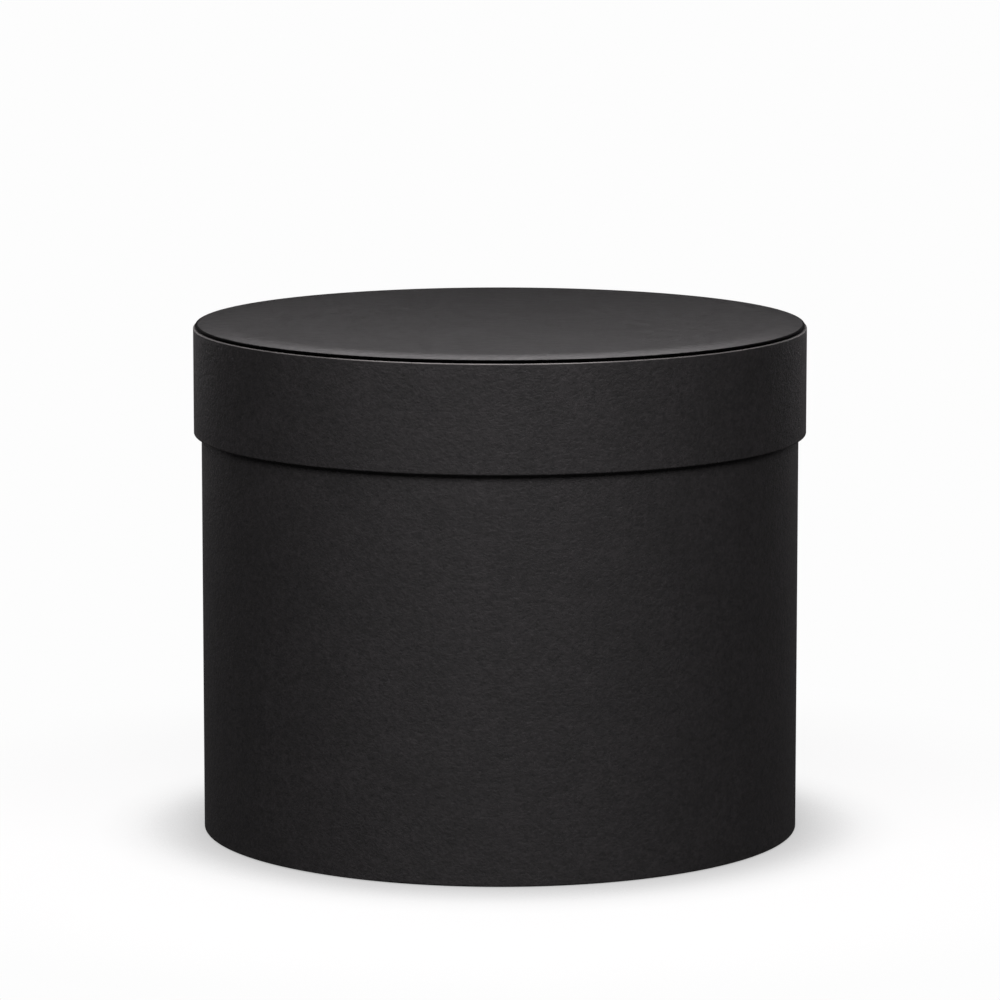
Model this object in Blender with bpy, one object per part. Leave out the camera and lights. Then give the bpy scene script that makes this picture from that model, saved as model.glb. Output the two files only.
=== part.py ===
# A round flower box of board covered with paper, with a deep lid that lifts straight off.
# Metres, +Z up. The origin is the centre of the underside, and the seams face +Y.

import math

import bmesh
import bpy
from mathutils import Matrix, Vector

# Driving sizes of the box
BOX_OUTER_RADIUS = 0.0975
BOX_HEIGHT = 0.1625
WALL_BOARD_THICKNESS = 0.0015
BASE_BOARD_THICKNESS = 0.0020

# Driving sizes of the lid
LID_RIM_HEIGHT = 0.0348
RIM_BOARD_THICKNESS = 0.0012
TOP_BOARD_THICKNESS = 0.0020
TOP_CARD_THICKNESS = 0.0014

# Papers, and the glue between two layers
WRAP_THICKNESS = 0.00025
LINING_THICKNESS = 0.00020
TAPE_THICKNESS = 0.00025
GLUE_LINE = 0.00010

# Fits: lid over box, lid on the mouth, and two paper edges that meet
LID_CLEARANCE = 0.0003
LID_SEAT_GAP = 0.0003
PAPER_JOINT_GAP = 0.0003

# How far the papers reach
MOUTH_TURN_IN = 0.015
BASE_TURN_UNDER = 0.012
RIM_TURN_IN = 0.012
TOP_TURN_OVER = 0.012
TAPE_LEG = 0.012
BOX_LINING_BELOW_MOUTH = 0.004
LID_LINING_ABOVE_EDGE = 0.003
BASE_COVER_SETBACK = 0.0015

# The lid's raised top: a flat middle that falls away to a soft shoulder, over a dark undercut
TOP_COVER_SETBACK = 0.0007
CROWN_WIDTH = 0.0080
CROWN_FALL = 0.00046
SHOULDER_WIDTH = 0.0026
SHOULDER_FALL = 0.00032
NOSE_WIDTH = 0.0007
NOSE_FALL = 0.00052
UNDERCUT_WIDTH = 0.0004
CROWN_STEPS = 3

# The paper's fold over a board edge
FOLD_RADIUS = 0.0004
FOLD_STEPS = 2

FACETS = 64
SMOOTH_ANGLE = math.radians(35)

# Radii through the box's wall, from the outside in
WALL_OUTER = BOX_OUTER_RADIUS - WRAP_THICKNESS - GLUE_LINE
WALL_INNER = WALL_OUTER - WALL_BOARD_THICKNESS
MOUTH_PAPER_FACE = WALL_INNER - GLUE_LINE - WRAP_THICKNESS
BOX_TAPE_FACE = WALL_INNER - GLUE_LINE - TAPE_THICKNESS
BOX_LINING_OUTER = min(MOUTH_PAPER_FACE, BOX_TAPE_FACE) - GLUE_LINE
BOX_LINING_FACE = BOX_LINING_OUTER - LINING_THICKNESS

# Heights through the base, from the table up
BASE_COVER_TOP = WRAP_THICKNESS
BASE_PAPER_FACE = BASE_COVER_TOP + GLUE_LINE
WALL_BOTTOM = BASE_PAPER_FACE + WRAP_THICKNESS + GLUE_LINE
BASE_BOARD_TOP = WALL_BOTTOM + BASE_BOARD_THICKNESS
BASE_TAPE_FACE = BASE_BOARD_TOP + GLUE_LINE + TAPE_THICKNESS
BASE_LINING_BOTTOM = BASE_TAPE_FACE + GLUE_LINE
WALL_TOP = BOX_HEIGHT - WRAP_THICKNESS - GLUE_LINE

# Radii through the lid's rim, from the inside out
RIM_LINING_FACE = BOX_OUTER_RADIUS + LID_CLEARANCE
RIM_LINING_OUTER = RIM_LINING_FACE + LINING_THICKNESS
RIM_INNER = RIM_LINING_OUTER + GLUE_LINE + max(WRAP_THICKNESS, TAPE_THICKNESS) + GLUE_LINE
RIM_PAPER_FACE = RIM_INNER - GLUE_LINE - WRAP_THICKNESS
LID_TAPE_FACE = RIM_INNER - GLUE_LINE - TAPE_THICKNESS
RIM_OUTER = RIM_INNER + RIM_BOARD_THICKNESS
LID_OUTER_RADIUS = RIM_OUTER + GLUE_LINE + WRAP_THICKNESS

# Heights through the lid's top, from the box's mouth up
TOP_LINING_FACE = BOX_HEIGHT + LID_SEAT_GAP
TOP_LINING_TOP = TOP_LINING_FACE + LINING_THICKNESS
TOP_TAPE_FACE = TOP_LINING_TOP + GLUE_LINE
TOP_BOARD_BOTTOM = TOP_TAPE_FACE + TAPE_THICKNESS + GLUE_LINE
TOP_BOARD_TOP = TOP_BOARD_BOTTOM + TOP_BOARD_THICKNESS
RIM_TOP = TOP_BOARD_TOP + GLUE_LINE + WRAP_THICKNESS
RIM_BOTTOM = RIM_TOP - LID_RIM_HEIGHT
RIM_BOARD_BOTTOM = RIM_BOTTOM + WRAP_THICKNESS + GLUE_LINE
CARD_BOTTOM = RIM_TOP + GLUE_LINE
CARD_TOP = CARD_BOTTOM + TOP_CARD_THICKNESS
COVER_TOP = CARD_TOP + GLUE_LINE + WRAP_THICKNESS
COVER_RADIUS = LID_OUTER_RADIUS - TOP_COVER_SETBACK

# Finishes: linear base colour and roughness
BLACK_GRAIN_PAPER = ((0.028, 0.028, 0.028), 0.55)
BLACK_LINING_PAPER = ((0.022, 0.022, 0.023), 0.70)
GREY_BOARD = ((0.26, 0.24, 0.21), 0.90)
KRAFT_TAPE = ((0.42, 0.27, 0.14), 0.60)


def clear_scene():
    for old in list(bpy.data.objects):
        bpy.data.objects.remove(old, do_unlink=True)


def paper_material(name, finish):
    colour, roughness = finish
    material = bpy.data.materials.new(name)
    material.use_nodes = True
    shader = material.node_tree.nodes["Principled BSDF"]
    shader.inputs["Base Color"].default_value = (*colour, 1)
    shader.inputs["Roughness"].default_value = roughness
    shader.inputs["Metallic"].default_value = 0
    material.diffuse_color = (*colour, 1)
    return material


# Outlines are lists of (radius, height). A paper's path runs along its open face, which is on the
# left of the way the path goes, so its thickness lies on the right.

def right_of(start, end):
    along = (Vector(end) - Vector(start)).normalized()
    return Vector((along.y, -along.x))


def offset_path(path, distance):
    sides = [right_of(start, end) for start, end in zip(path, path[1:])]
    moved = [Vector(path[0]) + sides[0] * distance]
    for point, before, after in zip(path[1:], sides, sides[1:]):
        mitre = before + after
        moved.append(Vector(point) + mitre * (distance / (1 + before.dot(after))))
    moved.append(Vector(path[-1]) + sides[-1] * distance)
    return [tuple(point) for point in moved]


def turns_right(before, corner, after):
    ahead = Vector(after) - Vector(corner)
    return right_of(before, corner).dot(ahead) > 0


def fold_points(before, corner, after, radius):
    along_in = (Vector(before) - Vector(corner)).normalized()
    along_out = (Vector(after) - Vector(corner)).normalized()
    half_angle = along_in.angle(along_out) / 2
    reach = radius / math.tan(half_angle)
    centre = Vector(corner) + (along_in + along_out).normalized() * (radius / math.sin(half_angle))
    first = Vector(corner) + along_in * reach - centre
    clockwise = 2 * half_angle - math.pi
    turns = [Matrix.Rotation(clockwise * step / FOLD_STEPS, 2) for step in range(FOLD_STEPS + 1)]
    return [tuple(centre + turn @ first) for turn in turns]


def folded_path(path, radius):
    folded = [path[0]]
    for before, corner, after in zip(path, path[1:], path[2:]):
        if turns_right(before, corner, after):
            folded += fold_points(before, corner, after, radius)
        else:
            folded.append(corner)
    return folded + [path[-1]]


def sheet_outline(path, thickness, fold_radius):
    return folded_path(path, fold_radius) + offset_path(path, thickness)[::-1]


def band_outline(inner, outer, bottom, top):
    return [(inner, bottom), (outer, bottom), (outer, top), (inner, top)]


def profile_edges(mesh, outline, start_angle, closed):
    turn = Matrix.Rotation(start_angle, 3, "Z")
    verts = [mesh.verts.new(turn @ Vector((radius, 0, height))) for radius, height in outline]
    pairs = list(zip(verts, verts[1:]))
    if closed:
        pairs.append((verts[-1], verts[0]))
    return verts + [mesh.edges.new(pair) for pair in pairs]


def ring_mesh(outline):
    mesh = bmesh.new()
    profile = profile_edges(mesh, outline, math.pi / 2, True)
    bmesh.ops.spin(mesh, geom=profile, axis=(0, 0, 1), cent=(0, 0, 0), steps=FACETS,
                   angle=math.tau, use_merge=True)
    return mesh


def seamed_mesh(outline):
    seam_angle = PAPER_JOINT_GAP / max(radius for radius, height in outline)
    mesh = bmesh.new()
    profile = profile_edges(mesh, outline, (math.pi + seam_angle) / 2, True)
    verts = profile[:len(outline)]
    end_cap = mesh.faces.new(verts)
    bmesh.ops.spin(mesh, geom=profile + [end_cap], axis=(0, 0, 1), cent=(0, 0, 0), steps=FACETS,
                   angle=math.tau - seam_angle)
    return mesh


def disc_mesh(outline):
    mesh = bmesh.new()
    profile = profile_edges(mesh, outline, math.pi / 2, False)
    bmesh.ops.spin(mesh, geom=profile, axis=(0, 0, 1), cent=(0, 0, 0), steps=FACETS,
                   angle=math.tau, use_merge=True)
    bmesh.ops.holes_fill(mesh, edges=mesh.edges, sides=FACETS)
    return mesh


def add_frame(name, height):
    frame = bpy.data.objects.new(name, None)
    frame.location = (0, 0, height)
    bpy.context.collection.objects.link(frame)
    return frame


def add_piece(name, mesh, frame, finish):
    bmesh.ops.translate(mesh, verts=mesh.verts, vec=-frame.location)
    bmesh.ops.recalc_face_normals(mesh, faces=mesh.faces)
    data = bpy.data.meshes.new(name)
    mesh.to_mesh(data)
    mesh.free()
    data.shade_smooth()
    data.set_sharp_from_angle(angle=SMOOTH_ANGLE)
    data.materials.append(paper_material(name + "_finish", finish))
    piece = bpy.data.objects.new(name, data)
    piece.parent = frame
    bpy.context.collection.objects.link(piece)
    return piece


# The box

def box_wall_board():
    return ring_mesh(band_outline(WALL_INNER, WALL_OUTER, WALL_BOTTOM, WALL_TOP))


def box_base_board():
    radius = WALL_INNER - GLUE_LINE
    return disc_mesh([(radius, WALL_BOTTOM), (radius, BASE_BOARD_TOP)])


def box_base_tape():
    path = [(BOX_TAPE_FACE - TAPE_LEG, BASE_TAPE_FACE),
            (BOX_TAPE_FACE, BASE_TAPE_FACE),
            (BOX_TAPE_FACE, BASE_TAPE_FACE + TAPE_LEG)]
    return ring_mesh(sheet_outline(path, TAPE_THICKNESS, FOLD_RADIUS))


def box_wall_wrap():
    path = [(MOUTH_PAPER_FACE, BOX_HEIGHT - MOUTH_TURN_IN),
            (MOUTH_PAPER_FACE, BOX_HEIGHT),
            (BOX_OUTER_RADIUS, BOX_HEIGHT),
            (BOX_OUTER_RADIUS, BASE_PAPER_FACE),
            (BOX_OUTER_RADIUS - BASE_TURN_UNDER, BASE_PAPER_FACE)]
    return seamed_mesh(sheet_outline(path, WRAP_THICKNESS, FOLD_RADIUS))


def box_base_cover():
    radius = BOX_OUTER_RADIUS - BASE_COVER_SETBACK
    return disc_mesh([(radius, 0), (radius, BASE_COVER_TOP)])


def box_wall_lining():
    top = BOX_HEIGHT - BOX_LINING_BELOW_MOUTH
    return seamed_mesh(band_outline(BOX_LINING_FACE, BOX_LINING_OUTER, BASE_LINING_BOTTOM, top))


def box_base_lining():
    radius = BOX_LINING_FACE - PAPER_JOINT_GAP
    return disc_mesh([(radius, BASE_LINING_BOTTOM), (radius, BASE_LINING_BOTTOM + LINING_THICKNESS)])


# The lid

def lid_rim_board():
    return ring_mesh(band_outline(RIM_INNER, RIM_OUTER, RIM_BOARD_BOTTOM, TOP_BOARD_TOP))


def lid_top_board():
    radius = RIM_INNER - GLUE_LINE
    return disc_mesh([(radius, TOP_BOARD_BOTTOM), (radius, TOP_BOARD_TOP)])


def lid_corner_tape():
    path = [(LID_TAPE_FACE, TOP_TAPE_FACE - TAPE_LEG),
            (LID_TAPE_FACE, TOP_TAPE_FACE),
            (LID_TAPE_FACE - TAPE_LEG, TOP_TAPE_FACE)]
    return ring_mesh(sheet_outline(path, TAPE_THICKNESS, FOLD_RADIUS))


def lid_rim_wrap():
    path = [(LID_OUTER_RADIUS - TOP_TURN_OVER, RIM_TOP),
            (LID_OUTER_RADIUS, RIM_TOP),
            (LID_OUTER_RADIUS, RIM_BOTTOM),
            (RIM_PAPER_FACE, RIM_BOTTOM),
            (RIM_PAPER_FACE, RIM_BOTTOM + RIM_TURN_IN)]
    return seamed_mesh(sheet_outline(path, WRAP_THICKNESS, FOLD_RADIUS))


def top_shoulder():
    nose = COVER_RADIUS - NOSE_WIDTH
    crown_end = nose - SHOULDER_WIDTH
    crown_start = crown_end - CROWN_WIDTH
    path = []
    for step in range(CROWN_STEPS + 1):
        share = step / CROWN_STEPS
        path.append((crown_start + CROWN_WIDTH * share, COVER_TOP - CROWN_FALL * share ** 2))
    shoulder_end = COVER_TOP - CROWN_FALL - SHOULDER_FALL
    path.append((nose, shoulder_end))
    path.append((COVER_RADIUS, shoulder_end - NOSE_FALL))
    path.append((COVER_RADIUS - UNDERCUT_WIDTH, CARD_BOTTOM))
    return path


def lid_top_cover():
    path = top_shoulder()
    return disc_mesh(offset_path(path, WRAP_THICKNESS) + path[::-1])


def lid_top_card():
    path = offset_path(top_shoulder(), WRAP_THICKNESS + GLUE_LINE)
    foot = (path[-1][0] - GLUE_LINE, CARD_BOTTOM)
    return disc_mesh([foot] + path[::-1])


def lid_rim_lining():
    bottom = RIM_BOTTOM + LID_LINING_ABOVE_EDGE
    return seamed_mesh(band_outline(RIM_LINING_FACE, RIM_LINING_OUTER, bottom, TOP_LINING_TOP))


def lid_top_lining():
    radius = RIM_LINING_FACE - PAPER_JOINT_GAP
    return disc_mesh([(radius, TOP_LINING_FACE), (radius, TOP_LINING_TOP)])


def build():
    clear_scene()
    box = add_frame("box", 0)
    lid = add_frame("lid", RIM_BOTTOM)
    add_piece("box_wall_board", box_wall_board(), box, GREY_BOARD)
    add_piece("box_base_board", box_base_board(), box, GREY_BOARD)
    add_piece("box_base_tape", box_base_tape(), box, KRAFT_TAPE)
    add_piece("box_wall_wrap", box_wall_wrap(), box, BLACK_GRAIN_PAPER)
    add_piece("box_base_cover", box_base_cover(), box, BLACK_GRAIN_PAPER)
    add_piece("box_wall_lining", box_wall_lining(), box, BLACK_LINING_PAPER)
    add_piece("box_base_lining", box_base_lining(), box, BLACK_LINING_PAPER)
    add_piece("lid_rim_board", lid_rim_board(), lid, GREY_BOARD)
    add_piece("lid_top_board", lid_top_board(), lid, GREY_BOARD)
    add_piece("lid_corner_tape", lid_corner_tape(), lid, KRAFT_TAPE)
    add_piece("lid_rim_wrap", lid_rim_wrap(), lid, BLACK_GRAIN_PAPER)
    add_piece("lid_top_card", lid_top_card(), lid, GREY_BOARD)
    add_piece("lid_top_cover", lid_top_cover(), lid, BLACK_GRAIN_PAPER)
    add_piece("lid_rim_lining", lid_rim_lining(), lid, BLACK_LINING_PAPER)
    add_piece("lid_top_lining", lid_top_lining(), lid, BLACK_LINING_PAPER)


build()
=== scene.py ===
import math

import bmesh
import bpy
from mathutils import Matrix, Vector


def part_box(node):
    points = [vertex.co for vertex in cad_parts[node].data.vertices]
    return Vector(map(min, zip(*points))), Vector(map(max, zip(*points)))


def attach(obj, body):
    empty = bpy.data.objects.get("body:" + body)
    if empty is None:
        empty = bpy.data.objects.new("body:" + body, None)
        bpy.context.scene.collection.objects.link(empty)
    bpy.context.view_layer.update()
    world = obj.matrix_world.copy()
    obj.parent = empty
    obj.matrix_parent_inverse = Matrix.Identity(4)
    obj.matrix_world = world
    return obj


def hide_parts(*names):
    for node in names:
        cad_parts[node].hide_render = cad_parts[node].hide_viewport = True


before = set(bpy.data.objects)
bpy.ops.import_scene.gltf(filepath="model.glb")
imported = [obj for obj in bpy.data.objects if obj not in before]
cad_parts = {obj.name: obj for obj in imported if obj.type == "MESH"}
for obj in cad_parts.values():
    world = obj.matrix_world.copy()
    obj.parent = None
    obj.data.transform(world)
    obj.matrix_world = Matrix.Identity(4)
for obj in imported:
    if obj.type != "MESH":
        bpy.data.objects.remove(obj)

scene = bpy.context.scene
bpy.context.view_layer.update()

# The camera: a long lens, a little above the lid, as the ellipses of lid and base in the photograph
# show it. Nothing is shifted or out of focus.

CAMERA_PLACE = (0, -1.8073, 0.3851)
CAMERA_PITCH = math.radians(8.714)
LENS_MM = 200.85
FARTHEST_SEEN = 40

lens = bpy.data.cameras.new("long_lens")
lens.lens = LENS_MM
lens.clip_end = FARTHEST_SEEN
camera = bpy.data.objects.new("camera", lens)
camera.location = CAMERA_PLACE
camera.rotation_euler = (math.pi / 2 - CAMERA_PITCH, 0, 0)
scene.collection.objects.link(camera)
scene.camera = camera
scene.view_settings.view_transform = "Standard"

# The boards: the wall tube, the base disc, the lid's rim, its top disc and the raised card. Grey
# board, pressed from waste paper, is a warm grey with short fibres and dark specks. They are the
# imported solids, with a better finish.

BOARD_GREY = "#8a857c"
BOARD_PULP = "#77716a"
BOARD_SPECK = "#4b463f"
PULP_CLOUD = 0.009
FIBRE_LENGTH = 0.0025
SPECK_SPACING = 0.0022
SPECK_CORE = 0.05
SPECK_RIM = 0.12
SPECK_STRENGTH = 0.7
BOARD_TOOTH = 0.00006
BOARD_SMOOTHEST = 0.82
BOARD_ROUGHEST = 0.96


def linear(hex_colour):
    """A colour from its sRGB hex value, made linear, with an alpha of 1."""
    shares = [int(hex_colour[at:at + 2], 16) / 255 for at in (1, 3, 5)]
    return [s / 12.92 if s <= 0.04045 else ((s + 0.055) / 1.055) ** 2.4 for s in shares] + [1]


def add_node(tree, kind, inputs=None, **settings):
    """Adds one node. Each of its inputs is set to a value, or linked from another node's output."""
    node = tree.nodes.new("ShaderNode" + kind)
    for name, value in settings.items():
        setattr(node, name, value)
    for key, value in (inputs or {}).items():
        if isinstance(value, bpy.types.NodeSocket):
            tree.links.new(value, node.inputs[key])
        else:
            node.inputs[key].default_value = value
    return node


def new_material(name, ior):
    """A Principled material. Returns it with its node tree and its shader."""
    material = bpy.data.materials.new(name)
    material.use_nodes = True
    shader = material.node_tree.nodes["Principled BSDF"]
    shader.inputs["IOR"].default_value = ior
    return material, material.node_tree, shader


grey_board, tree, shader = new_material("recycled_grey_board", 1.45)
place = add_node(tree, "TexCoord").outputs["Object"]
pulp = add_node(tree, "TexNoise", {"Vector": place, "Scale": 1 / PULP_CLOUD, "Detail": 5,
                                   "Roughness": 0.6})
fibres = add_node(tree, "TexNoise", {"Vector": place, "Scale": 1 / FIBRE_LENGTH, "Detail": 6,
                                     "Roughness": 0.7, "Distortion": 1.6})
specks = add_node(tree, "TexVoronoi", {"Vector": place, "Scale": 1 / SPECK_SPACING})
near_speck = add_node(tree, "MapRange", {"Value": specks.outputs["Distance"],
                                         "From Min": SPECK_CORE, "From Max": SPECK_RIM,
                                         "To Min": SPECK_STRENGTH, "To Max": 0})
cloudy = add_node(tree, "Mix", {0: pulp.outputs["Fac"], 6: linear(BOARD_GREY),
                                7: linear(BOARD_PULP)}, data_type="RGBA")
fibrous = add_node(tree, "Mix", {0: fibres.outputs["Fac"], 6: cloudy.outputs[2],
                                 7: linear(BOARD_GREY)}, data_type="RGBA")
specked = add_node(tree, "Mix", {0: near_speck.outputs[0], 6: fibrous.outputs[2],
                                 7: linear(BOARD_SPECK)}, data_type="RGBA")
rough = add_node(tree, "MapRange", {"Value": fibres.outputs["Fac"], "To Min": BOARD_SMOOTHEST,
                                    "To Max": BOARD_ROUGHEST})
tooth = add_node(tree, "Bump", {"Height": fibres.outputs["Fac"], "Distance": BOARD_TOOTH})
tree.links.new(specked.outputs[2], shader.inputs["Base Color"])
tree.links.new(rough.outputs[0], shader.inputs["Roughness"])
tree.links.new(tooth.outputs["Normal"], shader.inputs["Normal"])

for name in ("box_wall_board", "box_base_board", "lid_rim_board", "lid_top_board", "lid_top_card"):
    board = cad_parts[name]
    board.data.materials.clear()
    board.data.materials.append(grey_board)

# The corner tapes: gummed kraft paper, stuck wet round the inner corner of box and lid, where it
# holds disc and tube together. Brown pulp with close ribs from the paper machine's felt, slightly
# shiny.

KRAFT_BROWN = "#ad8454"
KRAFT_FIBRE = "#8d673d"
KRAFT_RIBS_PER_METRE = 900
KRAFT_FIBRE_LENGTH = 0.004
KRAFT_FIBRE_SQUEEZE = (1, 1, 3)
KRAFT_RIB_HEIGHT = 0.00003
KRAFT_SMOOTHEST = 0.45
KRAFT_ROUGHEST = 0.7

kraft_tape, tree, shader = new_material("gummed_kraft_tape", 1.45)
place = add_node(tree, "TexCoord").outputs["Object"]
drawn_out = add_node(tree, "Mapping", {"Vector": place, "Scale": KRAFT_FIBRE_SQUEEZE}).outputs[0]
streaks = add_node(tree, "TexNoise", {"Vector": drawn_out, "Scale": 1 / KRAFT_FIBRE_LENGTH,
                                      "Detail": 7, "Roughness": 0.65, "Distortion": 0.6})
ribs = add_node(tree, "TexWave", {"Vector": place, "Scale": KRAFT_RIBS_PER_METRE / math.tau,
                                  "Distortion": 1.5, "Detail": 2}, wave_type="RINGS",
                rings_direction="SPHERICAL")
brown = add_node(tree, "Mix", {0: streaks.outputs["Fac"], 6: linear(KRAFT_BROWN),
                               7: linear(KRAFT_FIBRE)}, data_type="RGBA")
rough = add_node(tree, "MapRange", {"Value": streaks.outputs["Fac"], "To Min": KRAFT_SMOOTHEST,
                                    "To Max": KRAFT_ROUGHEST})
ribbed = add_node(tree, "Bump", {"Height": ribs.outputs["Fac"], "Distance": KRAFT_RIB_HEIGHT})
tree.links.new(brown.outputs[2], shader.inputs["Base Color"])
tree.links.new(rough.outputs[0], shader.inputs["Roughness"])
tree.links.new(ribbed.outputs["Normal"], shader.inputs["Normal"])

for name in ("box_base_tape", "lid_corner_tape"):
    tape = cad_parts[name]
    tape.data.materials.clear()
    tape.data.materials.append(kraft_tape)

# The box's covering paper: one sheet of black paper embossed with a fine leather grain. It is glued
# round the wall, lapped over itself at the back, turned in over the mouth and under the base.

PAPER_THICKNESS = 0.00025
FOLD_RADIUS = 0.0004
FOLD_SEGMENTS = 6
ROUND_STEPS = 240
LAP_WIDTH = 0.010
LAP_RAMP = 0.003
LAP_STEPS = 8
LAP_RISE = 0.00027
SEAM_GAP = 0.0003
JUST_OVER = 1.01
JUST_UNDER = 0.99
RUB_REACH = 0.0006
RUB_REACH_SHARE = 0.4
RUB_DEPTH = 0.00015
RUB_ROUGHNESS = 0.35
MOUTH_TURN_IN = 0.015
MOUTH_THICKNESS = 0.0022
MOUTH_WEAR = 0.3
MOUTH_INNER_WEAR = 0.15
BASE_TURN_UNDER = 0.012
BASE_WEAR = 0.15
SHARP_ANGLE = math.radians(35)

PAPER_BLACK = "#202020"
PAPER_CLOUD = "#343233"
# A darker black in the grain's hollows, painted as shade.
GRAIN_HOLLOW_SHADE = "#161616"
# Pale wear on the folds, which on the lid's upper fold is also a painted highlight.
PAINTED_HIGHLIGHT_AND_WEAR = "#a5a2a0"
# Painted shade: the near-black of the groove under the lid's top.
GROOVE_PAINTED_SHADE = "#020202"
GRAIN_WRINKLE = 0.0022
GRAIN_PEBBLE = 0.0010
GRAIN_PEBBLE_SHARE = 0.2
GRAIN_CLOUD = 0.016
GRAIN_BOTTOM = 0.28
GRAIN_TOP = 0.64
RUB_THIN_CLOUD = 0.3
RUB_FULL_CLOUD = 0.6
RUB_THINNEST = 0.6
WALL_SQUEEZE = (1, 1, 1.2)
WALL_RELIEF = 0.0003
WALL_ROUGHNESS = 0.55
WALL_UNEVENNESS = 0.06


def grain_paper(name, squeeze, relief, roughness, unevenness):
    """Black paper with an embossed leather grain, squeezed where the grain runs longer one way.
    Its hollows are painted darker, as shade, and are rougher than its high spots, by the share
    unevenness each way."""
    material, tree, shader = new_material(name, 1.4)
    place = add_node(tree, "TexCoord").outputs["Object"]
    squeezed = add_node(tree, "Mapping", {"Vector": place, "Scale": squeeze}).outputs[0]
    wrinkles = add_node(tree, "TexNoise", {"Vector": squeezed, "Scale": 1 / GRAIN_WRINKLE,
                                           "Detail": 5, "Roughness": 0.75})
    pebbles = add_node(tree, "TexVoronoi", {"Vector": squeezed, "Scale": 1 / GRAIN_PEBBLE,
                                            "Smoothness": 0.6}, feature="SMOOTH_F1")
    clouds = add_node(tree, "TexNoise", {"Vector": squeezed, "Scale": 1 / GRAIN_CLOUD,
                                         "Detail": 6, "Roughness": 0.65})
    height = add_node(tree, "Mix", {0: GRAIN_PEBBLE_SHARE, 2: wrinkles.outputs["Fac"],
                                    3: pebbles.outputs["Distance"]})
    # Painted shade: the grain's hollows are darker.
    hollow_shade_share = add_node(tree, "MapRange", {"Value": height.outputs[0], "From Min": GRAIN_BOTTOM,
                                          "From Max": GRAIN_TOP, "To Min": 1, "To Max": 0})
    # Wear on the folds, pale and patchy; on the lid's upper fold it is also a painted highlight.
    wear_and_highlight = add_node(tree, "Attribute", attribute_name="pale_wear_and_highlight").outputs["Fac"]
    patchy = add_node(tree, "MapRange", {"Value": clouds.outputs["Fac"],
                                         "From Min": RUB_THIN_CLOUD, "From Max": RUB_FULL_CLOUD,
                                         "To Min": RUB_THINNEST, "To Max": 1})
    wear_and_highlight_spots = add_node(tree, "Math", {0: wear_and_highlight, 1: patchy.outputs[0]}, operation="MULTIPLY")
    # Painted shade: the groove under the lid's top is painted near black, matt and without
    # reflection.
    groove_shade_share = add_node(tree, "Attribute", attribute_name="painted_groove_shade").outputs["Fac"]
    black = add_node(tree, "Mix", {0: clouds.outputs["Fac"], 6: linear(PAPER_BLACK),
                                   7: linear(PAPER_CLOUD)}, data_type="RGBA")
    grain_with_painted_shade = add_node(tree, "Mix", {0: hollow_shade_share.outputs[0], 6: black.outputs[2],
                                     7: linear(GRAIN_HOLLOW_SHADE)}, data_type="RGBA")
    pale_wear_and_highlight = add_node(tree, "Mix", {0: wear_and_highlight_spots.outputs[0], 6: grain_with_painted_shade.outputs[2],
                                    7: linear(PAINTED_HIGHLIGHT_AND_WEAR)}, data_type="RGBA")
    shaded = add_node(tree, "Mix", {0: groove_shade_share, 6: pale_wear_and_highlight.outputs[2], 7: linear(GROOVE_PAINTED_SHADE)},
                      data_type="RGBA")
    rough = add_node(tree, "MapRange", {"Value": height.outputs[0], "From Min": GRAIN_BOTTOM,
                                        "From Max": GRAIN_TOP,
                                        "To Min": roughness * (1 + unevenness),
                                        "To Max": roughness * (1 - unevenness)})
    scuffed = add_node(tree, "Math", {0: wear_and_highlight, 1: RUB_ROUGHNESS, 2: rough.outputs[0]},
                       operation="MULTIPLY_ADD")
    # In the painted shade of the groove the paper turns fully matt and reflects nothing.
    matt = add_node(tree, "Math", {0: groove_shade_share, 1: scuffed.outputs[0]}, operation="MAXIMUM")
    gleam = add_node(tree, "Mix", {0: groove_shade_share, 6: (1, 1, 1, 1), 7: (0, 0, 0, 1)}, data_type="RGBA")
    embossed = add_node(tree, "Bump", {"Height": height.outputs[0], "Distance": relief})
    tree.links.new(shaded.outputs[2], shader.inputs["Base Color"])
    tree.links.new(gleam.outputs[2], shader.inputs["Specular Tint"])
    tree.links.new(matt.outputs[0], shader.inputs["Roughness"])
    tree.links.new(embossed.outputs["Normal"], shader.inputs["Normal"])
    return material


def section(corners, fold_radius):
    """A wire through corners of (radius, height, wear). Each fold is rounded and takes its wear, a
    pale mark that on the lid's upper fold is also a painted highlight.
    """
    mesh = bmesh.new()
    pale_wear_and_highlight = mesh.verts.layers.float.new("pale_wear_and_highlight")
    # A second layer holds the painted shade of the lid's groove.
    mesh.verts.layers.float.new("painted_groove_shade")
    verts = [mesh.verts.new((radius, 0, height)) for radius, height, wear in corners]
    for pair in zip(verts, verts[1:]):
        mesh.edges.new(pair)
    if fold_radius:
        for first, last in zip(verts, verts[1:]):
            edge = mesh.edges.get((first, last))
            reach = RUB_REACH / edge.calc_length()
            if reach < RUB_REACH_SHARE:
                near = bmesh.utils.edge_split(edge, first, reach)[1]
                rest = mesh.edges.get((near, last))
                bmesh.utils.edge_split(rest, last, RUB_REACH / rest.calc_length())
        folds = bmesh.ops.bevel(mesh, geom=verts[1:-1], offset=fold_radius, offset_type="OFFSET",
                                segments=FOLD_SEGMENTS, profile=0.5, affect="VERTICES",
                                material=-1)
        for vert in folds["verts"]:
            nearest = min(corners, key=lambda corner: abs(corner[0] - vert.co.x)
                          + abs(corner[1] - vert.co.z))
            vert[pale_wear_and_highlight] = nearest[2] * (abs(nearest[1] - vert.co.z) < RUB_DEPTH)
    return mesh


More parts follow.
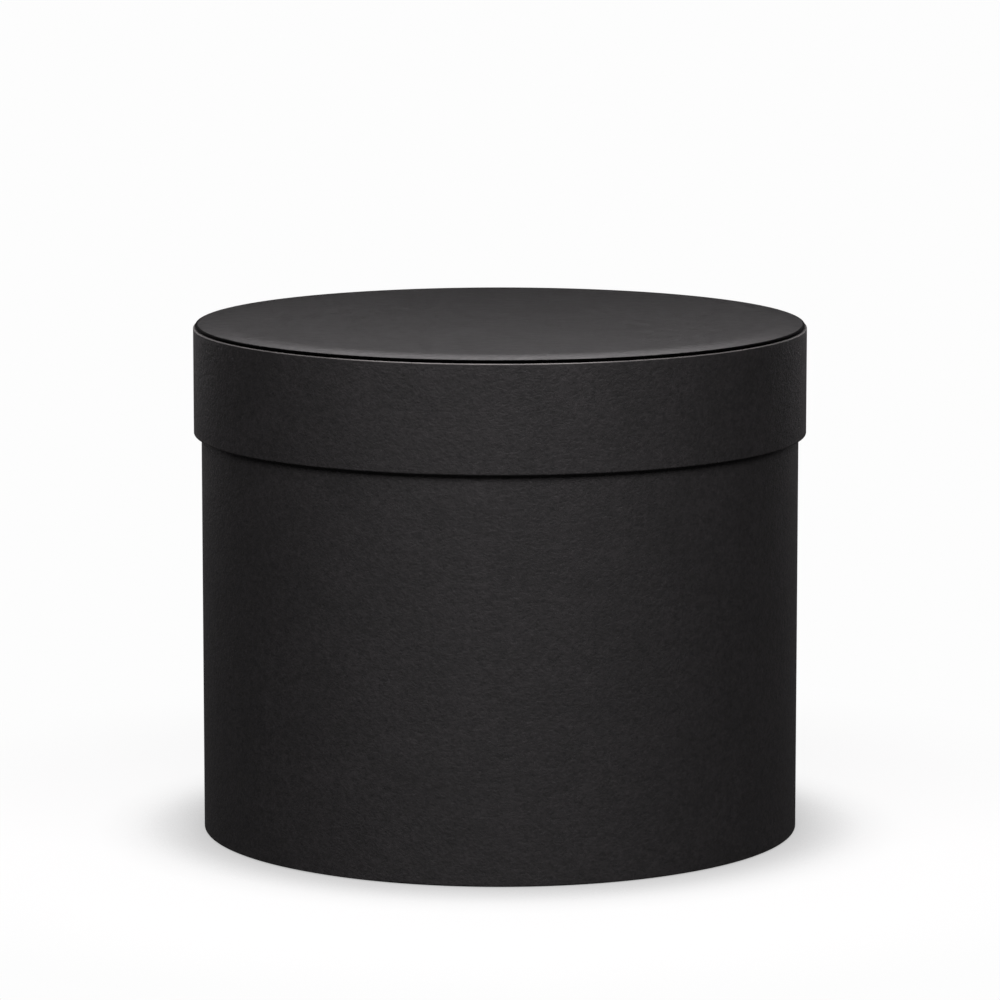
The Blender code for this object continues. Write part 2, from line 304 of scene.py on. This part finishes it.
def turned(mesh, wire, angle, steps, whole=False):
    """Turns a wire round the box's axis. Returns the vertices made, and the wire where it ends."""
    count = len(mesh.verts)
    end = bmesh.ops.spin(mesh, geom=wire, axis=(0, 0, 1), cent=(0, 0, 0), steps=steps, angle=angle,
                         use_merge=whole)["geom_last"]
    mesh.verts.ensure_lookup_table()
    return mesh.verts[count:], end


def away_from_axis(point):
    return Vector((point.x, point.y, 0)).normalized()


def thickened(mesh, thickness, open_side):
    """Gives an open sheet its thickness, behind the side that open_side gives for its middle."""
    bmesh.ops.recalc_face_normals(mesh, faces=mesh.faces)
    widest = max(mesh.faces, key=lambda face: face.calc_area())
    if widest.normal.dot(open_side(widest.calc_center_median())) < 0:
        bmesh.ops.reverse_faces(mesh, faces=mesh.faces)
    mesh.normal_update()
    bmesh.ops.solidify(mesh, geom=mesh.faces[:], thickness=thickness)
    return mesh


def wrapped_round(corners, fold_radius, lapped):
    """A sheet wrapped once round the axis from +Y. It laps over its own start, or just meets it."""
    mesh = section(corners, fold_radius)
    radius = max(corner[0] for corner in corners)
    gap = SEAM_GAP / radius
    ramp = LAP_RAMP / radius
    bmesh.ops.rotate(mesh, verts=mesh.verts, cent=(0, 0, 0),
                     matrix=Matrix.Rotation(math.pi / 2 + gap, 3, "Z"))
    wire = mesh.verts[:] + mesh.edges[:]
    if not lapped:
        turned(mesh, wire, math.tau - gap * 2, ROUND_STEPS)
        return mesh
    end = turned(mesh, wire, math.tau - gap - ramp, ROUND_STEPS)[1]
    climbing, end = turned(mesh, end, ramp, LAP_STEPS)
    for vert in climbing:
        if vert.co.xy.length > radius - fold_radius * JUST_OVER:
            share = 1 - math.atan2(vert.co.x, vert.co.y) / ramp
            vert.co += away_from_axis(vert.co) * (LAP_RISE * share * share * (3 - 2 * share))
    edge_verts = [part for part in end if isinstance(part, bmesh.types.BMVert)
                  and part.co.xy.length > radius + LAP_RISE * JUST_UNDER]
    edges = [part for part in end if isinstance(part, bmesh.types.BMEdge)
             and all(vert in edge_verts for vert in part.verts)]
    turned(mesh, edge_verts + edges, LAP_WIDTH / radius, LAP_STEPS)
    return mesh


def add_piece(name, mesh, body, material):
    """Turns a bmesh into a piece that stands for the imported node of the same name."""
    data = bpy.data.meshes.new(name)
    mesh.to_mesh(data)
    mesh.free()
    data.shade_smooth()
    data.set_sharp_from_angle(angle=SHARP_ANGLE)
    data.materials.append(material)
    piece = bpy.data.objects.new(name + "_paper", data)
    scene.collection.objects.link(piece)
    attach(piece, body)
    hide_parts(name)
    return piece


box_paper = grain_paper("leather_grain_paper_on_box", WALL_SQUEEZE, WALL_RELIEF, WALL_ROUGHNESS,
                        WALL_UNEVENNESS)
low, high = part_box("box_wall_wrap")
corners = [(high.x - MOUTH_THICKNESS, high.z - MOUTH_TURN_IN, 0),
           (high.x - MOUTH_THICKNESS, high.z, MOUTH_INNER_WEAR),
           (high.x, high.z, MOUTH_WEAR),
           (high.x, low.z, BASE_WEAR),
           (high.x - BASE_TURN_UNDER, low.z, 0)]
mesh = thickened(wrapped_round(corners, FOLD_RADIUS, lapped=True), PAPER_THICKNESS, away_from_axis)
add_piece("box_wall_wrap", mesh, "box", box_paper)

# The base cover: a disc of the same paper, punched a little smaller than the base and glued over
# the turned-under edge. The box stands on it, and its cut edge is crisp.

DISC_EDGE = 0.00006
DISC_RINGS = 6
WELD_DISTANCE = 1e-7


def paper_disc(radius, bottom, top):
    """A punched disc of paper, with the burr of its cut edge just taken off."""
    mesh = bmesh.new()
    inner = [radius * ring / DISC_RINGS for ring in range(DISC_RINGS)]
    path = [(r, top) for r in inner] + [(radius - DISC_EDGE, top), (radius, top - DISC_EDGE),
                                        (radius, bottom + DISC_EDGE), (radius - DISC_EDGE, bottom)]
    path += [(r, bottom) for r in reversed(inner)]
    verts = [mesh.verts.new((r, 0, height)) for r, height in path]
    wire = verts + [mesh.edges.new(pair) for pair in zip(verts, verts[1:])]
    turned(mesh, wire, math.tau, ROUND_STEPS, whole=True)
    bmesh.ops.remove_doubles(mesh, verts=mesh.verts, dist=WELD_DISTANCE)
    bmesh.ops.recalc_face_normals(mesh, faces=mesh.faces)
    return mesh


low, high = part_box("box_base_cover")
disc = paper_disc(high.x, low.z, high.z)
add_piece("box_base_cover", disc, "box", box_paper)

# The linings of box and lid: thin smooth black paper, pasted in last so that it covers tape and
# turned-in edges. Matt, with faint cockles from the paste and the odd pale fibre.

LINING_THICKNESS = 0.0002
LINING_BLACK = "#212122"
LINING_CLOUD = "#27272a"
LINING_FIBRE = "#35353a"
LINING_COCKLE = 0.020
LINING_TOOTH = 0.0004
COCKLE_HEIGHT = 0.00012
TOOTH_HEIGHT = 0.00001
PALE_FIBRE_START = 0.68
PALE_FIBRE_FULL = 0.74
PALE_FIBRE_STRENGTH = 0.6
LINING_ROUGHNESS = 0.66
LINING_UNEVENNESS = 0.08

lining_paper, tree, shader = new_material("smooth_black_lining_paper", 1.4)
place = add_node(tree, "TexCoord").outputs["Object"]
cockles = add_node(tree, "TexNoise", {"Vector": place, "Scale": 1 / LINING_COCKLE, "Detail": 1})
tooth = add_node(tree, "TexNoise", {"Vector": place, "Scale": 1 / LINING_TOOTH, "Detail": 4,
                                    "Roughness": 0.7})
fibres = add_node(tree, "TexNoise", {"Vector": place, "Scale": 1 / FIBRE_LENGTH, "Detail": 2,
                                     "Distortion": 4})
pale_fibre = add_node(tree, "MapRange", {"Value": fibres.outputs["Fac"],
                                         "From Min": PALE_FIBRE_START,
                                         "From Max": PALE_FIBRE_FULL,
                                         "To Max": PALE_FIBRE_STRENGTH})
black = add_node(tree, "Mix", {0: tooth.outputs["Fac"], 6: linear(LINING_BLACK),
                               7: linear(LINING_CLOUD)}, data_type="RGBA")
flecked = add_node(tree, "Mix", {0: pale_fibre.outputs[0], 6: black.outputs[2],
                                 7: linear(LINING_FIBRE)}, data_type="RGBA")
rough = add_node(tree, "MapRange", {"Value": tooth.outputs["Fac"],
                                    "To Min": LINING_ROUGHNESS - LINING_UNEVENNESS,
                                    "To Max": LINING_ROUGHNESS + LINING_UNEVENNESS})
cockled = add_node(tree, "Bump", {"Height": cockles.outputs["Fac"], "Distance": COCKLE_HEIGHT})
toothed = add_node(tree, "Bump", {"Height": tooth.outputs["Fac"], "Distance": TOOTH_HEIGHT,
                                  "Normal": cockled.outputs["Normal"]})
tree.links.new(flecked.outputs[2], shader.inputs["Base Color"])
tree.links.new(rough.outputs[0], shader.inputs["Roughness"])
tree.links.new(toothed.outputs["Normal"], shader.inputs["Normal"])


def towards_axis(point):
    return -away_from_axis(point)


for name, body in (("box_wall_lining", "box"), ("lid_rim_lining", "lid")):
    low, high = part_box(name)
    face = high.x - LINING_THICKNESS
    mesh = wrapped_round([(face, low.z, 0), (face, high.z, 0)], 0, lapped=False)
    thickened(mesh, LINING_THICKNESS, towards_axis)
    add_piece(name, mesh, body, lining_paper)
for name, body in (("box_base_lining", "box"), ("lid_top_lining", "lid")):
    low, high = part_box(name)
    add_piece(name, paper_disc(high.x, low.z, high.z), body, lining_paper)

# The lid's covering paper: the same paper round the rim, lapped at the back, turned over the top
# board and up inside the rim. Its upper fold is a thin pale line, partly rubbed fibres and partly a
# painted highlight, which is painted brightest at the front.

RIM_TURN_IN = 0.012
RIM_THICKNESS = 0.0019
TOP_TURN_OVER = 0.012
# The upper fold's wear is also a painted highlight, painted brighter towards the front.
RIM_TOP_WEAR_AND_HIGHLIGHT = 1
RIM_FOOT_WEAR = 0.04
LEAST_WEAR_AND_HIGHLIGHT = 0.45
FRONT_HIGHLIGHT_FOCUS = 8

lid_paper = grain_paper("leather_grain_paper_on_lid", WALL_SQUEEZE, WALL_RELIEF, WALL_ROUGHNESS,
                        WALL_UNEVENNESS)
low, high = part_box("lid_rim_wrap")
corners = [(high.x - TOP_TURN_OVER, high.z, 0),
           (high.x, high.z, RIM_TOP_WEAR_AND_HIGHLIGHT),
           (high.x, low.z, RIM_FOOT_WEAR),
           (high.x - RIM_THICKNESS, low.z, 0),
           (high.x - RIM_THICKNESS, low.z + RIM_TURN_IN, 0)]
mesh = wrapped_round(corners, FOLD_RADIUS, lapped=True)
pale_wear_and_highlight = mesh.verts.layers.float["pale_wear_and_highlight"]
# Painted highlight: the pale fold is brightened towards the front.
for vert in mesh.verts:
    towards_front = max(0, -away_from_axis(vert.co).y)
    vert[pale_wear_and_highlight] *= LEAST_WEAR_AND_HIGHLIGHT + (1 - LEAST_WEAR_AND_HIGHLIGHT) * towards_front ** FRONT_HIGHLIGHT_FOCUS
thickened(mesh, PAPER_THICKNESS, away_from_axis)
add_piece("lid_rim_wrap", mesh, "lid", lid_paper)

# The lid's top cover: grained paper drawn tight over a raised card disc. Its middle is flat, its
# edge falls away to a soft shoulder, and it tucks under the card over a narrow groove, painted
# black as shade. All of it is rougher than 0.274: spots below that come out of the denoiser as dark
# dashes.

CROWN_START = 0.0113
CROWN_END = 0.0033
CROWN_FALL = 0.00046
CROWN_STEPS = 12
MIDDLE_RINGS = (0, 0.2, 0.4, 0.6, 0.8)
SHOULDER_END = 0.0007
SHOULDER_FALL = 0.00078
SHOULDER_RINGS = (0.5, 0.88, 1)
NOSE_FALL = 0.0013
NOSE_STEPS = 7
UNDERCUT = 0.0004
# Where the painted shade of the groove starts below the shoulder, and how fast it fades in.
GROOVE_SHADE_START = 0.00003
GROOVE_SHADE_FADE = 0.00004
TOP_SQUEEZE = (0.4, 0.6, 1)
TOP_RELIEF = 0.00004
TOP_ROUGHNESS = 0.335
TOP_UNEVENNESS = 0.165

low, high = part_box("lid_top_cover")
path = [(high.x * share, high.z, 0) for share in MIDDLE_RINGS]
for step in range(CROWN_STEPS + 1):
    share = step / CROWN_STEPS
    path.append((high.x - CROWN_START + (CROWN_START - CROWN_END) * share,
                 high.z - CROWN_FALL * share ** 2, 0))
crown_end = path[-1]
shoulder = (high.x - SHOULDER_END, high.z - SHOULDER_FALL, 0)
for share in SHOULDER_RINGS:
    path.append(tuple(a + (b - a) * share for a, b in zip(crown_end, shoulder)))
for step in range(1, NOSE_STEPS + 1):
    turn = math.pi / 2 * step / NOSE_STEPS
    path.append((high.x - SHOULDER_END * (1 - math.sin(turn)),
                 high.z - NOSE_FALL + (NOSE_FALL - SHOULDER_FALL) * math.cos(turn), 0))
path.append((high.x - UNDERCUT, low.z, 0))
mesh = section(path, 0)
painted_groove_shade = mesh.verts.layers.float["painted_groove_shade"]
# Painted shade: below the shoulder the nose is painted near black, fading in over a short depth.
for vert in mesh.verts:
    depth = high.z - SHOULDER_FALL + GROOVE_SHADE_START - vert.co.z
    vert[painted_groove_shade] = min(1, max(0, depth / GROOVE_SHADE_FADE))
turned(mesh, mesh.verts[:] + mesh.edges[:], math.tau, ROUND_STEPS, whole=True)
bmesh.ops.remove_doubles(mesh, verts=mesh.verts, dist=WELD_DISTANCE)
thickened(mesh, PAPER_THICKNESS, lambda point: Vector((0, 0, 1)))
top_paper = grain_paper("leather_grain_paper_on_top", TOP_SQUEEZE, TOP_RELIEF, TOP_ROUGHNESS,
                        TOP_UNEVENNESS)
add_piece("lid_top_cover", mesh, "lid", top_paper)

# The studio: a pale floor that the camera sees as white, with the lamps' shadow and a painted
# shadow round the base from ambient occlusion, three soft boxes in front, two low ones behind for
# the silhouette, and a strip behind for the lid's top. Reflections don't see the white: nothing is
# metal or glass, and it would turn black paper pale.

FLOOR_SIZE = 30
FLOOR_BELOW_OBJECT = 0.00002
FLOOR_PALE = "#595959"
FLOOR_SEEN = "#6c6c6c"
FLOOR_GLOW = 0.875
FAR_WHITE = 0.982
FAR_START = 0.16
FAR_END = 0.26
# The painted shadow round the base: its reach, the openness where it is darkest, its darkest share
# of the glow, and its samples.
PAINTED_SHADOW_REACH = 0.037
PAINTED_SHADOW_CLOSED = 0.5
PAINTED_SHADOW_DARKEST = 0.58
PAINTED_SHADOW_SAMPLES = 8

floor_mesh = bmesh.new()
bmesh.ops.create_grid(floor_mesh, x_segments=1, y_segments=1, size=FLOOR_SIZE / 2)
bmesh.ops.translate(floor_mesh, verts=floor_mesh.verts, vec=(0, 0, -FLOOR_BELOW_OBJECT))
floor_data = bpy.data.meshes.new("floor")
floor_mesh.to_mesh(floor_data)
floor_mesh.free()
floor = bpy.data.objects.new("floor", floor_data)
scene.collection.objects.link(floor)


def seen_by_camera(tree):
    """1 for a ray that the camera sends, straight or through something clear, and 0 for others."""
    rays = add_node(tree, "LightPath")
    seen = add_node(tree, "Math", {0: rays.outputs["Is Camera Ray"],
                                   1: rays.outputs["Is Transmission Ray"]}, operation="MAXIMUM")
    return seen.outputs[0]


floor_finish = bpy.data.materials.new("matt_pale_floor")
floor_finish.use_nodes = True
tree = floor_finish.node_tree
tree.nodes.clear()
seen = seen_by_camera(tree)
place = add_node(tree, "TexCoord").outputs["Object"]
from_box = add_node(tree, "VectorMath", {0: place}, operation="LENGTH").outputs["Value"]
far = add_node(tree, "MapRange", {"Value": from_box, "From Min": FAR_START, "From Max": FAR_END},
               interpolation_type="SMOOTHSTEP")
unseen_floor = add_node(tree, "BsdfDiffuse", {"Color": linear(FLOOR_PALE)})
seen_floor = add_node(tree, "BsdfDiffuse", {"Color": linear(FLOOR_SEEN)})
# Painted shadow: near the base the floor's glow is dimmed by ambient occlusion, not by a lamp.
open_sky = add_node(tree, "AmbientOcclusion", {"Distance": PAINTED_SHADOW_REACH}, samples=PAINTED_SHADOW_SAMPLES)
glow_under_painted_shadow = add_node(tree, "MapRange", {"Value": open_sky.outputs["AO"],
                                         "From Min": PAINTED_SHADOW_CLOSED,
                                         "To Min": FLOOR_GLOW * PAINTED_SHADOW_DARKEST,
                                         "To Max": FLOOR_GLOW},
                      interpolation_type="SMOOTHSTEP")
glow = add_node(tree, "Emission", {"Color": (1, 1, 1, 1), "Strength": glow_under_painted_shadow.outputs[0]})
near_floor = add_node(tree, "AddShader", {0: seen_floor.outputs[0], 1: glow.outputs[0]})
far_floor = add_node(tree, "Emission", {"Color": (1, 1, 1, 1), "Strength": FAR_WHITE})
white_floor = add_node(tree, "MixShader", {0: far.outputs[0], 1: near_floor.outputs[0],
                                           2: far_floor.outputs[0]})
either = add_node(tree, "MixShader", {0: seen, 1: unseen_floor.outputs[0],
                                      2: white_floor.outputs[0]})
underside = add_node(tree, "NewGeometry").outputs["Backfacing"]
clear = add_node(tree, "BsdfTransparent")
one_sided = add_node(tree, "MixShader", {0: underside, 1: either.outputs[0], 2: clear.outputs[0]})
add_node(tree, "OutputMaterial", {"Surface": one_sided.outputs[0]})
floor_data.materials.append(floor_finish)

LIGHT_TARGET = Vector((0, 0, 0.1))
LIGHT_TINT = (1, 0.96, 0.98)
SOFTBOXES = {
    # name: (degrees round from the front, degrees up, distance, width, height, brightness);
    # a white surface in front of a brightness of 1 looks white
    "front_left": (-38, 37, 1.3, 0.7, 0.5, 5.8),
    "front_right": (38, 37, 1.3, 0.7, 0.5, 5.8),
    "front_middle": (0, 37, 1.3, 0.6, 0.5, 8.3),
    "back_left": (-150, 8, 1.3, 0.6, 0.3, 2.4),
    "back_right": (150, 8, 1.3, 0.6, 0.3, 2.4),
    "back_strip": (180, 36, 0.535, 1.2, 0.1, 2.25),
}

for name, (azimuth, elevation, distance, width, height, brightness) in SOFTBOXES.items():
    around, up = math.radians(azimuth), math.radians(elevation)
    outward = Vector((math.sin(around) * math.cos(up), -math.cos(around) * math.cos(up),
                      math.sin(up)))
    light = bpy.data.lights.new(name, "AREA")
    light.shape = "RECTANGLE"
    light.size = width
    light.size_y = height
    light.color = LIGHT_TINT
    light.energy = brightness * math.pi * width * height
    softbox = bpy.data.objects.new(name, light)
    softbox.location = LIGHT_TARGET + outward * distance
    softbox.rotation_euler = (-outward).to_track_quat("-Z", "Y").to_euler()
    softbox.visible_camera = False
    scene.collection.objects.link(softbox)

world = bpy.data.worlds.new("white_studio")
scene.world = world
world.use_nodes = True
tree = world.node_tree
tree.nodes.clear()
white = add_node(tree, "Math", {0: seen_by_camera(tree), 1: FAR_WHITE}, operation="MULTIPLY")
sky = add_node(tree, "Background", {"Color": (1, 1, 1, 1), "Strength": white.outputs[0]})
add_node(tree, "OutputWorld", {"Surface": sky.outputs[0]})
